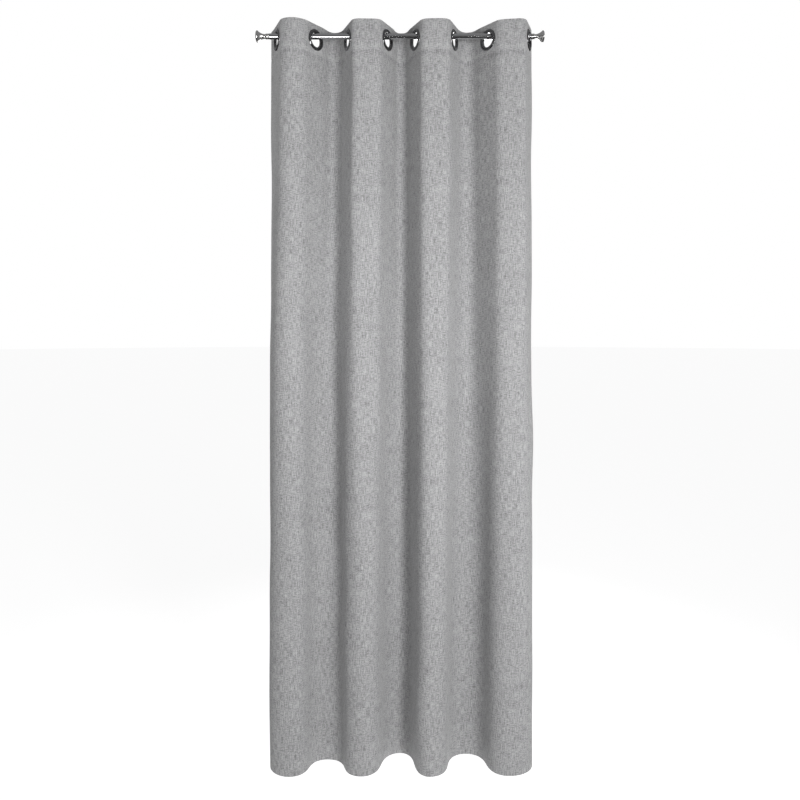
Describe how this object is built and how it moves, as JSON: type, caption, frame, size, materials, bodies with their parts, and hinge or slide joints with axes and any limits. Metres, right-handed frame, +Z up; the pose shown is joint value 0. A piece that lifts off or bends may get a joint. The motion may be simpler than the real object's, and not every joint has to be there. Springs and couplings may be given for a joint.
{
  "type": "eyelet curtain panel",
  "caption": "Floor-length woven curtain panel with metal eyelets along its header, hung in soft folds on a thin metal rod with flared finials; the folds draw together towards one end.",
  "frame": {"origin": "on the rod's axis at its mid-length", "axes": "+X along the rod to the right as seen from the room, +Y away from the room towards the window, +Z up"},
  "size_m": [0.9498, 0.1305, 2.45],
  "materials": {
    "cloth": "grey melange linen-look weave, matt",
    "header_tape": "white non-woven stiffening tape",
    "eyelet_metal": "dark polished chrome",
    "rod_chrome": "bright chrome",
    "finial_metal": "polished nickel, a little worn at the rim",
    "plug": "moulded plastic"
  },
  "bodies": {
    "rod": {"rod_tube": "rod_chrome"},
    "left_finial": {"finial_left": "finial_metal", "finial_plug_left": "plug"},
    "right_finial": {"finial_right": "finial_metal", "finial_plug_right": "plug"},
    "strip_1": {"cloth_1": "cloth", "header_tape_1": "header_tape", "header_turning_1": "cloth", "bottom_hem_1": "cloth", "eyelet_front_1": "eyelet_metal", "eyelet_back_1": "eyelet_metal", "side_hem_left": "cloth"},
    "strip_2": {"cloth_2": "cloth", "header_tape_2": "header_tape", "header_turning_2": "cloth", "bottom_hem_2": "cloth", "eyelet_front_2": "eyelet_metal", "eyelet_back_2": "eyelet_metal"},
    "strip_3": {"cloth_3": "cloth", "header_tape_3": "header_tape", "header_turning_3": "cloth", "bottom_hem_3": "cloth", "eyelet_front_3": "eyelet_metal", "eyelet_back_3": "eyelet_metal"},
    "strip_4": {"cloth_4": "cloth", "header_tape_4": "header_tape", "header_turning_4": "cloth", "bottom_hem_4": "cloth", "eyelet_front_4": "eyelet_metal", "eyelet_back_4": "eyelet_metal"},
    "strip_5": {"cloth_5": "cloth", "header_tape_5": "header_tape", "header_turning_5": "cloth", "bottom_hem_5": "cloth", "eyelet_front_5": "eyelet_metal", "eyelet_back_5": "eyelet_metal"},
    "strip_6": {"cloth_6": "cloth", "header_tape_6": "header_tape", "header_turning_6": "cloth", "bottom_hem_6": "cloth", "eyelet_front_6": "eyelet_metal", "eyelet_back_6": "eyelet_metal"},
    "strip_7": {"cloth_7": "cloth", "header_tape_7": "header_tape", "header_turning_7": "cloth", "bottom_hem_7": "cloth", "eyelet_front_7": "eyelet_metal", "eyelet_back_7": "eyelet_metal"},
    "strip_8": {"cloth_8": "cloth", "header_tape_8": "header_tape", "header_turning_8": "cloth", "bottom_hem_8": "cloth", "eyelet_front_8": "eyelet_metal", "eyelet_back_8": "eyelet_metal", "side_hem_right": "cloth"}
  },
  "joints": [
    {"name": "gather", "type": "hinge", "parent": "rod", "child": "strip_1", "pos_m": [-0.40493, 0, -0.0121], "axis": [0, 0, -1], "range_deg": [0, 26]},
    {"name": "fold_1", "type": "hinge", "parent": "strip_1", "child": "strip_2", "pos_m": [-0.34139, -0.05426, -0.0121], "axis": [0, 0, 1], "range_deg": [0, 52]},
    {"name": "fold_2", "type": "hinge", "parent": "strip_2", "child": "strip_3", "pos_m": [-0.22484, 0.06667, -0.0121], "axis": [0, 0, -1], "range_deg": [0, 52]},
    {"name": "fold_3", "type": "hinge", "parent": "strip_3", "child": "strip_4", "pos_m": [-0.10676, -0.04465, -0.0121], "axis": [0, 0, 1], "range_deg": [0, 52]},
    {"name": "fold_4", "type": "hinge", "parent": "strip_4", "child": "strip_5", "pos_m": [0.00439, 0.07196, -0.0121], "axis": [0, 0, -1], "range_deg": [0, 52]},
    {"name": "fold_5", "type": "hinge", "parent": "strip_5", "child": "strip_6", "pos_m": [0.11437, -0.04718, -0.0121], "axis": [0, 0, 1], "range_deg": [0, 52]},
    {"name": "fold_6", "type": "hinge", "parent": "strip_6", "child": "strip_7", "pos_m": [0.23407, 0.06415, -0.0121], "axis": [0, 0, -1], "range_deg": [0, 52]},
    {"name": "fold_7", "type": "hinge", "parent": "strip_7", "child": "strip_8", "pos_m": [0.3571, -0.04278, -0.0121], "axis": [0, 0, 1], "range_deg": [0, 52]},
    {"name": "left_finial_pull", "type": "slide", "parent": "rod", "child": "left_finial", "axis": [-1, 0, 0], "range_m": [0, 0.045]},
    {"name": "right_finial_pull", "type": "slide", "parent": "rod", "child": "right_finial", "axis": [1, 0, 0], "range_m": [0, 0.045]}
  ],
  "couplings": [
    {"joint": "fold_1", "follows": "gather", "ratio": 2},
    {"joint": "fold_2", "follows": "gather", "ratio": 2},
    {"joint": "fold_3", "follows": "gather", "ratio": 2},
    {"joint": "fold_4", "follows": "gather", "ratio": 2},
    {"joint": "fold_5", "follows": "gather", "ratio": 2},
    {"joint": "fold_6", "follows": "gather", "ratio": 2},
    {"joint": "fold_7", "follows": "gather", "ratio": 2}
  ]
}
